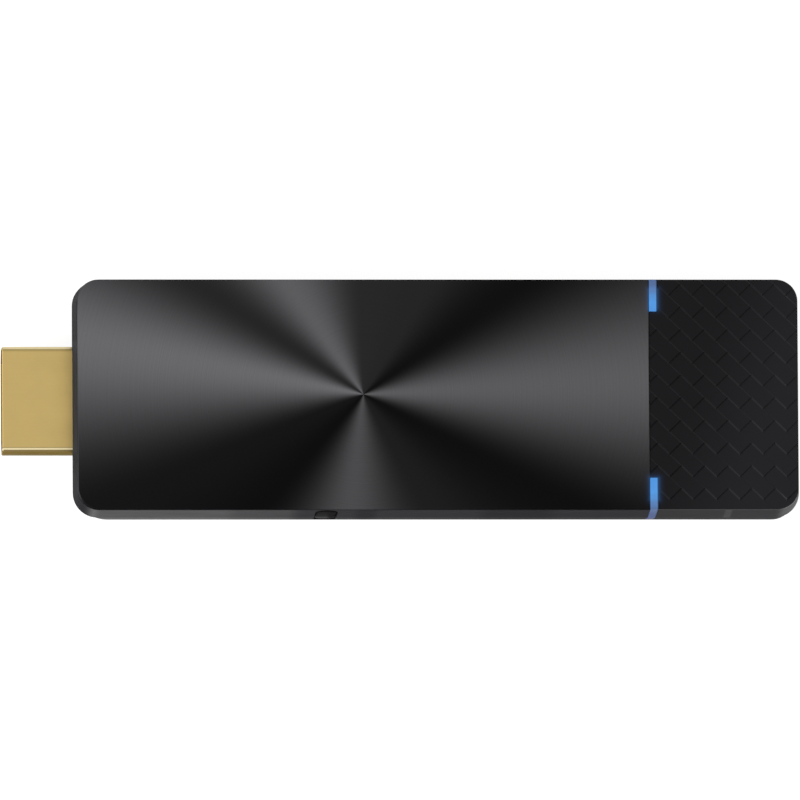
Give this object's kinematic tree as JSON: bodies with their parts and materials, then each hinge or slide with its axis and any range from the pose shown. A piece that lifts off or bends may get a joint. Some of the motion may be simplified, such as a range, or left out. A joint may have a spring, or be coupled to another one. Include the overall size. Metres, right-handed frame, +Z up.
{
  "type": "wireless display dongle",
  "caption": "Flat stick receiver with a gold video plug, a spun metal top plate, a woven relief end cap, lit side seams and a spring-return key in its side wall.",
  "frame": {"origin": "under the middle of the whole dongle, plug included, on the surface it rests on", "axes": "+X from the plug to the far end, +Y towards the rear side, away from the key, +Z up"},
  "size_m": [0.1036, 0.0308, 0.012],
  "materials": {
    "spun_metal": "spun and dark anodised",
    "shell": "fine satin",
    "cap": "moulded woven relief",
    "light": "milky, lit from inside",
    "key": "satin",
    "gold": "gold plated",
    "insulator": "moulded",
    "board": "solder mask",
    "chip": "moulded",
    "tin": "tin plated",
    "pad": "soft silicone",
    "spreader": "rolled",
    "film": "adhesive",
    "steel": "plated",
    "ferrite": "sintered",
    "ceramic": "fired",
    "led": "clear lens"
  },
  "bodies": {
    "housing": {"top_plate": "spun_metal", "plate_adhesive": "film", "upper_housing": "shell", "lower_housing": "shell", "antenna_cap": "cap", "light_guide_front": "light", "light_guide_rear": "light", "switch_body": "tin", "plug_shell": "gold", "plug_contacts": "gold", "plug_insulator": "insulator", "plug_rear_block": "insulator", "main_board": "board", "board_screws": "steel", "shield_frame": "tin", "shield_lid": "tin", "soc_chip": "chip", "soc_thermal_pad": "pad", "memory_chips": "chip", "heat_spreader": "spreader", "lid_thermal_pad": "pad", "radio_can": "tin", "radio_chip": "chip", "flash_chip": "chip", "crystal": "tin", "power_inductors": "ferrite", "capacitors": "ceramic", "status_leds": "led", "antenna_rear": "steel", "antenna_front": "steel", "power_socket_shell": "steel", "power_socket_tongue": "insulator", "power_socket_contacts": "gold"},
    "key": {"side_key": "key", "switch_plunger": "insulator"}
  },
  "joints": [
    {"name": "key_press", "type": "slide", "parent": "housing", "child": "key", "axis": [0, 1, 0], "range_m": [0, 0.00025], "stiffness_N_per_m": 4000, "springref_m": -0.00005}
  ]
}
